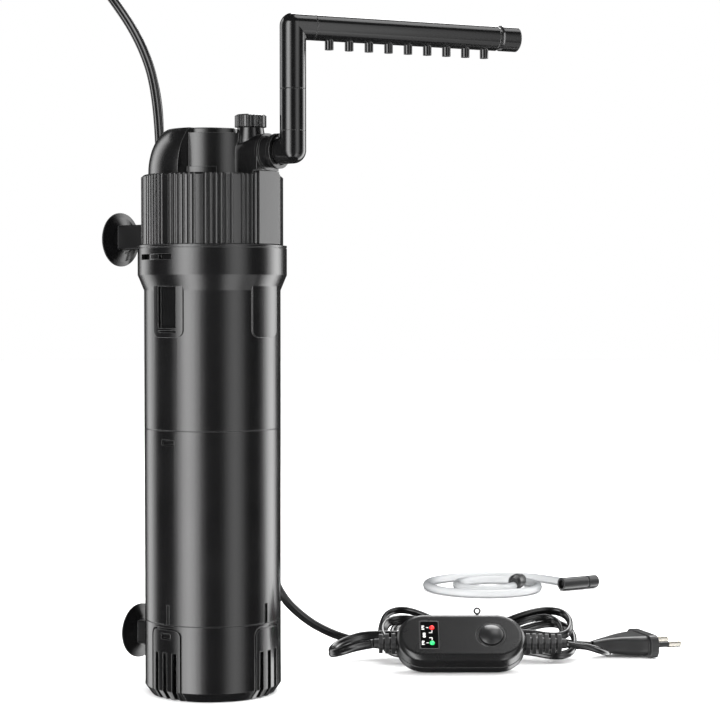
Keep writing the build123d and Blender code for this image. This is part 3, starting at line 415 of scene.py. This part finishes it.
def twin_section():
    """The flat twin flex: two round cores under one sheath, with a shallow groove between them."""
    core = LEAD_THICK / 2
    offset = LEAD_WIDTH / 2 - core
    section = []
    for side, start in ((1, -CORE_WRAP), (-1, math.pi - CORE_WRAP)):
        for k in range(CORE_STEPS + 1):
            turn = start + 2 * CORE_WRAP * k / CORE_STEPS
            section.append(((side * offset + core * math.cos(turn)) * MM, core * math.sin(turn) * MM))
    return section


def sweep(name, line, section, flat_hint):
    """Sweep a section along a line with frames that turn as little as they can."""
    mesh = bmesh.new()
    tangents = []
    for k in range(len(line)):
        ahead = line[min(k + 1, len(line) - 1)]
        behind = line[max(k - 1, 0)]
        tangents.append((ahead - behind).normalized())
    side = (flat_hint - tangents[0] * flat_hint.dot(tangents[0])).normalized()
    loops = []
    for k, (centre, tangent) in enumerate(zip(line, tangents)):
        if k > 0:
            side = tangents[k - 1].rotation_difference(tangent) @ side
            side = (side - tangent * side.dot(tangent)).normalized()
        up = tangent.cross(side)
        loops.append([mesh.verts.new(centre + side * x + up * y) for x, y in section])
    count = len(section)
    for first, second in zip(loops, loops[1:]):
        for j in range(count):
            mesh.faces.new((first[j], first[(j + 1) % count], second[(j + 1) % count], second[j]))
    mesh.faces.new(list(reversed(loops[0])))
    mesh.faces.new(loops[-1])
    bmesh.ops.recalc_face_normals(mesh, faces=mesh.faces)
    data = bpy.data.meshes.new(name)
    mesh.to_mesh(data)
    mesh.free()
    for polygon in data.polygons:
        polygon.use_smooth = len(polygon.vertices) == 4
    return bpy.data.objects.new(name, data)


# One loop at the hank's end: how far along it and how far across it, as parts of its reach and half width.
LOOP_SHAPE = [
    (0.50, -0.62), (0.78, -0.98), (0.95, -0.78), (1.0, -0.25),
    (1.0, 0.28), (0.94, 0.80), (0.76, 1.0), (0.48, 0.60),
]


def hank_end(side, reach, half, lean, low, high):
    """One loop round the hank's left (-1) or right (+1) end, from its low near side to its high far one."""
    points = []
    for along, across in LOOP_SHAPE:
        height = (low + high) / 2 + across * (high - low) / 2
        points.append((side * reach * along, half * across + lean, height))
    return points


def in_hank(points):
    return [(HANK_AT[0] + along, HANK_AT[1] + across, height) for along, across, height in points]


def main_lead_points():
    """The head's lead: down to the hank, three loops in it, and out to the controller."""
    right_one = hank_end(1, 58.5, 17.0, 1.0, 4.0, 19.0)
    left_one = hank_end(-1, 58.0, 16.0, 2.0, 4.6, 27.6)
    right_two = hank_end(1, 51.0, 13.0, -2.0, 8.0, 24.0)
    left_two = hank_end(-1, 51.5, 13.0, -1.5, 9.0, 20.0)
    right_three = hank_end(1, 56.0, 13.5, 0.0, 15.0, 27.5)
    hank = right_one[::-1] + [(4.0, -9.0, 6.2)] + left_one + [(-2.0, 9.0, 9.6)]
    hank += right_two[::-1] + [(3.0, -3.2, 9.4)] + left_two + [(-3.0, 4.0, 13.0)]
    hank += right_three[::-1] + [(2.0, -7.0, 13.4), (-26.0, -9.5, 15.0)]
    start = in_hank([(-52.0, 5.4, 8.4), (-26.0, 3.4, 6.4), (0.0, 3.0, 6.0)])
    return LEAD_ROUTE[:-1] + start + in_hank(hank) + LEFT_ROUTE[::-1][1:]


def plug_lead_points():
    """The controller's other lead: back along the hank, round its left end and out to the plug."""
    left_three = hank_end(-1, 56.5, 12.5, -4.0, 12.0, 23.0)
    hank = [(52.0, -7.6, 10.4), (34.0, -7.4, 13.6), (8.0, -1.6, 16.6)] + left_three
    hank += [(0.0, 6.4, 17.2), (28.0, 5.2, 14.6)]
    return RIGHT_ROUTE[:-1] + in_hank(hank) + PLUG_ROUTE


def metres(points):
    return [yard(*point) for point in points]


def make_lead(name, points, replaced, flat):
    """One cord of twin flex. flat is the direction that its width starts in."""
    line = read_line(metres(points))
    lead = link(sweep(name, line, twin_section(), flat.normalized()), "lead_black")
    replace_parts(lead, *replaced)


make_lead(
    "lead_main", main_lead_points(), ["lead_tube", "lead_left_tube", "lead_hank"],
    yard(1, 0),
)
make_lead(
    "lead_plug", plug_lead_points(), ["lead_right_tube", "lead_plug_tube"],
    yard(0, 1),
)


def hose_points():
    """The hose's loose inward spiral, just clear of the floor."""
    points = []
    for degrees, radius in HOSE_TURNS:
        turn = math.radians(degrees)
        along = HOSE_AT[0] + radius * math.cos(turn)
        across = HOSE_AT[1] + radius * math.sin(turn)
        points.append((along, across, HOSE_R + HOSE_LIFT))
    return points


def make_hose():
    """The air hose, in place of the CAD model's hose."""
    points = metres(hose_points())
    hose = route_curve("air_hose_tube", points)
    hose.data.bevel_depth = HOSE_R * MM
    hose.data.bevel_resolution = 6
    hose.data.use_fill_caps = True
    link(hose, "hose_silicone")
    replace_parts(hose, "air_hose")


make_hose()


# ---------------------------------------------------------------- the tie and the window's print
TIE_MIDDLE = 12.0
TIE_HALF = (13.6, 8.7)
TIE_WIRE_R = 0.6
TWIST_AT = 3.0
TWIST_LENGTH = 6.0
TWIST_TURNS = 2.5
TWIST_R = 0.62
TWIST_STEPS = 40
BAND_STEPS = 60
EYE_R = 1.7
EYE_STEPS = 24


def round_section(radius, steps=10):
    turns = [2 * math.pi * k / steps for k in range(steps)]
    return [(radius * math.cos(t) * MM, radius * math.sin(t) * MM) for t in turns]


def tie_band():
    """Once round the hank's waist, from the twist to the twist: a squarish oval across the yard."""
    start = math.acos((TWIST_AT / TIE_HALF[0]) ** 2)
    points = []
    for k in range(1, BAND_STEPS):
        turn = start - 2 * math.pi * k / BAND_STEPS
        c, s = math.cos(turn), math.sin(turn)
        across = TIE_HALF[0] * math.copysign(abs(c) ** 0.5, c)
        height = TIE_MIDDLE + TIE_HALF[1] * math.copysign(abs(s) ** 0.5, s)
        points.append((TWIST_R * (1 - 2 * k / BAND_STEPS), across, height))
    return points


def twist_strand(phase):
    """One of the two wires twisted round each other, from the band upwards."""
    points = []
    for k in range(TWIST_STEPS + 1):
        turn = phase + 2 * math.pi * TWIST_TURNS * k / TWIST_STEPS
        height = TIE_MIDDLE + TIE_HALF[1] + TWIST_LENGTH * k / TWIST_STEPS
        points.append((TWIST_R * math.cos(turn), TWIST_AT + TWIST_R * math.sin(turn), height))
    return points


def make_tie():
    """The wire tie: round the waist, its ends twisted together and bent over in a small eye."""
    top = TIE_MIDDLE + TIE_HALF[1] + TWIST_LENGTH
    eye = []
    for k in range(1, EYE_STEPS):
        turn = 1.5 * math.pi - 2 * math.pi * k / EYE_STEPS
        eye.append((EYE_R * math.cos(turn), TWIST_AT, top + EYE_R + EYE_R * math.sin(turn)))
    wire = twist_strand(0.0)[::-1] + tie_band() + twist_strand(math.pi) + eye
    tie = sweep("wire_tie", metres(in_hank(wire)), round_section(TIE_WIRE_R), yard(0.3, 1.0).normalized())
    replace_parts(link(tie, "tie_black"), "hank_tie")


CASE_AT = (140.0, 58.5, 15.8)
CASE_TILT = math.radians(43.0)
FACE = 8.0
WINDOW_AT = (-18.5, 0.0)
WINDOW_HALF = (5.5, 10.0)
RIM_INSIDE = 0.35
RIM_OUTSIDE = 0.25
RIM_CORNERS = (0.9, 1.4)
RIM_HEIGHTS = (FACE - 0.1, FACE + 0.28)
LEDS = (-5.6, 5.4)

# ---- the window's print: along the case, across it, in millimetres
PRINT_HEIGHTS = (FACE + 0.03, FACE + 0.1)
LINE_HALF = 0.2
DASH = (-20.2, -18.9)
TICK_START = -22.9
TICK_HALF = 0.27
# Each tick's place across from its lamp, and its length.
TICKS = ((-1.1, 1.6), (0.0, 1.1), (1.1, 1.6))
HOOK = (-17.1, -16.7)
HOOK_FOOT = (-18.6, -16.7)
HOOK_REACH = (2.1, 3.7)
RING_ALONG = -21.4
RING_ACROSS = (-0.95, 0.85)
RING_RADII = (0.4, 0.85)


def on_case(x, y, z):
    """A place on the controller, from its own length, width and height to the row's frame."""
    across = y * math.cos(CASE_TILT) - z * math.sin(CASE_TILT)
    height = y * math.sin(CASE_TILT) + z * math.cos(CASE_TILT)
    return yard(CASE_AT[0] + x, CASE_AT[1] + across, CASE_AT[2] + height)


def add_loop(mesh, inner, outer, low, high):
    """A closed flat band between two outlines with equally many points."""
    rows = [
        [mesh.verts.new(on_case(x, y, z)) for x, y in outline]
        for outline, z in ((outer, low), (outer, high), (inner, high), (inner, low))
    ]
    count = len(inner)
    for first, second in zip(rows, rows[1:] + rows[:1]):
        for j in range(count):
            mesh.faces.new((first[j], first[(j + 1) % count], second[(j + 1) % count], second[j]))


def add_bar(mesh, x_range, y_range, z_range):
    """A straight printed line on the controller's face."""
    corners = [(x, y, z) for x in x_range for y in y_range for z in z_range]
    verts = [mesh.verts.new(on_case(*corner)) for corner in corners]
    for face in ((0, 1, 3, 2), (4, 6, 7, 5), (0, 4, 5, 1), (2, 3, 7, 6), (0, 2, 6, 4), (1, 5, 7, 3)):
        mesh.faces.new([verts[k] for k in face])


def finish_mesh(mesh, name, slot):
    """Turn a bmesh into a piece of the controller."""
    bmesh.ops.recalc_face_normals(mesh, faces=mesh.faces)
    data = bpy.data.meshes.new(name)
    mesh.to_mesh(data)
    mesh.free()
    link(bpy.data.objects.new(name, data), slot)


def rounded_outline(middle, half, corner, steps=5):
    """A rectangle with rounded corners; a circle where the corner is as large as both halves."""
    points = []
    for quarter, (sx, sy) in enumerate(((1, 1), (-1, 1), (-1, -1), (1, -1))):
        for k in range(steps + 1):
            turn = math.pi / 2 * (quarter + k / steps)
            x = middle[0] + sx * (half[0] - corner) + corner * math.cos(turn)
            y = middle[1] + sy * (half[1] - corner) + corner * math.sin(turn)
            points.append((x, y))
    return points


def make_window_frame():
    """The thin raised rim round the indicator window."""
    mesh = bmesh.new()
    inner_half = [half - RIM_INSIDE for half in WINDOW_HALF]
    outer_half = [half + RIM_OUTSIDE for half in WINDOW_HALF]
    inner = rounded_outline(WINDOW_AT, inner_half, RIM_CORNERS[0])
    outer = rounded_outline(WINDOW_AT, outer_half, RIM_CORNERS[1])
    add_loop(mesh, inner, outer, *RIM_HEIGHTS)
    finish_mesh(mesh, "window_frame", "relief_black")


def make_window_print():
    """Plain ticks beside the two lamps and two small rings between them, in place of lettering."""
    mesh = bmesh.new()
    for lamp in LEDS:
        towards = -math.copysign(1.0, lamp)
        add_bar(mesh, DASH, (lamp - LINE_HALF, lamp + LINE_HALF), PRINT_HEIGHTS)
        for offset, length in TICKS:
            across = (lamp + offset - TICK_HALF, lamp + offset + TICK_HALF)
            add_bar(mesh, (TICK_START, TICK_START + length), across, PRINT_HEIGHTS)
        near, foot = [lamp + towards * reach for reach in HOOK_REACH]
        add_bar(mesh, HOOK, sorted((near, foot)), PRINT_HEIGHTS)
        add_bar(mesh, HOOK_FOOT, (foot - LINE_HALF, foot + LINE_HALF), PRINT_HEIGHTS)
    for across in RING_ACROSS:
        inner, outer = [rounded_outline((RING_ALONG, across), (r, r), r) for r in RING_RADII]
        add_loop(mesh, inner, outer, *PRINT_HEIGHTS)
    finish_mesh(mesh, "window_print", "shaft_ceramic")


make_tie()
make_window_frame()
make_window_print()


# ---------------------------------------------------------------- stage and lights
CAMERA_SIDE = math.radians(220.2)


def around(degrees, distance, height):
    """A point round the filter, at an angle to the right of the camera's direction."""
    turn = CAMERA_SIDE + math.radians(degrees)
    return Vector((distance * math.cos(turn), distance * math.sin(turn), height))


def panel_light(name, place, aim, width, height, radiance):
    """A soft panel of a given brightness that the camera doesn't see."""
    data = bpy.data.lights.new(name, "AREA")
    data.shape = "RECTANGLE"
    data.size = width
    data.size_y = height
    data.energy = radiance * math.pi * width * height
    light = bpy.data.objects.new(name, data)
    light.location = place
    light.rotation_euler = (aim - place).to_track_quat("-Z", "Y").to_euler()
    light.visible_camera = False
    SCENE.collection.objects.link(light)


# Each strip's angle round the filter, its half width in degrees and its brightness at the middle.
STRIPS = {
    "front_left": (-41.0, 28.0, 8.0),
    "rear_left": (-127.0, 24.0, 3.0),
    "front_right": (37.0, 24.0, 2.1),
    "rear_right": (112.0, 26.0, 6.4),
}
STRIP_PANELS = 7
STRIP_FADE = 1.5
STRIP_DISTANCE = 1.6
STRIP_HEIGHT = 3.6
STRIP_MIDDLE = -0.3
BACK_AT = yard(330, 900, 1100)
BACK_SIZE = (0.8, 0.7)
BACK_RADIANCE = 9.0
BAR_HIGH_AT = yard(750, 100, 2000)
BAR_HIGH_SIZE = (0.9, 0.9)
BAR_HIGH_RADIANCE = 3.5
BAR_LOW_AT = yard(1130, -716, -1040)
BAR_LOW_SIZE = (1.6, 1.0)
BAR_LOW_RADIANCE = 1.0
SUN_STRENGTH = 3.6
SUN_ANGLE = math.radians(110.0)
SUN_TURN = (math.radians(12.0), 0.0, math.radians(-30.0))
WORLD_STRENGTH = 0.05
FLOOR_RADIUS = 6.0
FLOOR_DROP = 0.0002
FLOOR_TONE = 0.93


def strip_lights():
    """Tall softboxes, each of narrow panels side by side that fade towards its two edges."""
    for name, (degrees, half, radiance) in STRIPS.items():
        step = 2 * half / STRIP_PANELS
        width = 2 * STRIP_DISTANCE * math.tan(math.radians(step / 2))
        for k in range(STRIP_PANELS):
            offset = (k + 0.5) * step - half
            fade = math.cos(math.pi / 2 * offset / half) ** STRIP_FADE
            place = around(degrees + offset, STRIP_DISTANCE, STRIP_MIDDLE)
            aim = Vector((0, 0, STRIP_MIDDLE))
            panel_light(f"{name}_{k}", place, aim, width, STRIP_HEIGHT, radiance * fade)


def top_light():
    """A wide soft sun: it lights the whole floor evenly, and shows in no reflection."""
    data = bpy.data.lights.new("overhead", "SUN")
    data.energy = SUN_STRENGTH
    data.angle = SUN_ANGLE
    light = bpy.data.objects.new("overhead", data)
    light.rotation_euler = SUN_TURN
    light.visible_glossy = False
    SCENE.collection.objects.link(light)


def back_panel():
    """A panel above and behind, for the bright lines along the tops of the cords and the controller."""
    panel_light("high_back", BACK_AT, yard(330, 60, 0), *BACK_SIZE, BACK_RADIANCE)


def bar_panels():
    """One panel high and one low on the right, for the two light bands along the spray bar."""
    bar = yard(108, -4, 362)
    panel_light("bar_high", BAR_HIGH_AT, bar, *BAR_HIGH_SIZE, BAR_HIGH_RADIANCE)
    panel_light("bar_low", BAR_LOW_AT, bar, *BAR_LOW_SIZE, BAR_LOW_RADIANCE)


def make_world():
    """White to the camera, dim grey to everything else, so that the black plastics keep their contrast."""
    world = bpy.data.worlds.new("studio")
    SCENE.world = world
    world.use_nodes = True
    tree = world.node_tree
    tree.nodes.clear()
    seen = tree.nodes.new("ShaderNodeBackground")
    seen.inputs["Color"].default_value = (1.0, 1.0, 1.0, 1.0)
    seen.inputs["Strength"].default_value = 1.0
    lit = tree.nodes.new("ShaderNodeBackground")
    lit.inputs["Color"].default_value = (1.0, 1.0, 1.0, 1.0)
    lit.inputs["Strength"].default_value = WORLD_STRENGTH
    rays = tree.nodes.new("ShaderNodeLightPath")
    mix = tree.nodes.new("ShaderNodeMixShader")
    out = tree.nodes.new("ShaderNodeOutputWorld")
    tree.links.new(rays.outputs["Is Camera Ray"], mix.inputs["Fac"])
    tree.links.new(lit.outputs["Background"], mix.inputs[1])
    tree.links.new(seen.outputs["Background"], mix.inputs[2])
    tree.links.new(mix.outputs["Shader"], out.inputs["Surface"])


def make_floor():
    """A wide pale floor whose level is the underside of the base."""
    mesh = bmesh.new()
    bmesh.ops.create_circle(mesh, cap_ends=True, segments=96, radius=FLOOR_RADIUS)
    data = bpy.data.meshes.new("floor")
    mesh.to_mesh(data)
    mesh.free()
    floor = bpy.data.objects.new("floor", data)
    floor.location.z = -FLOOR_DROP
    n = Nodes("floor_white")
    n.set(Roughness=1.0)
    n.shader.inputs["Base Color"].default_value = (FLOOR_TONE, FLOOR_TONE, FLOOR_TONE, 1.0)
    n.shader.inputs["Specular IOR Level"].default_value = 0.0
    data.materials.append(n.material)
    floor.visible_glossy = False
    floor.visible_shadow = False
    SCENE.collection.objects.link(floor)


def make_stage():
    strip_lights()
    back_panel()
    bar_panels()
    top_light()
    make_world()
    make_floor()
    SCENE.view_settings.view_transform = "Standard"


make_stage()
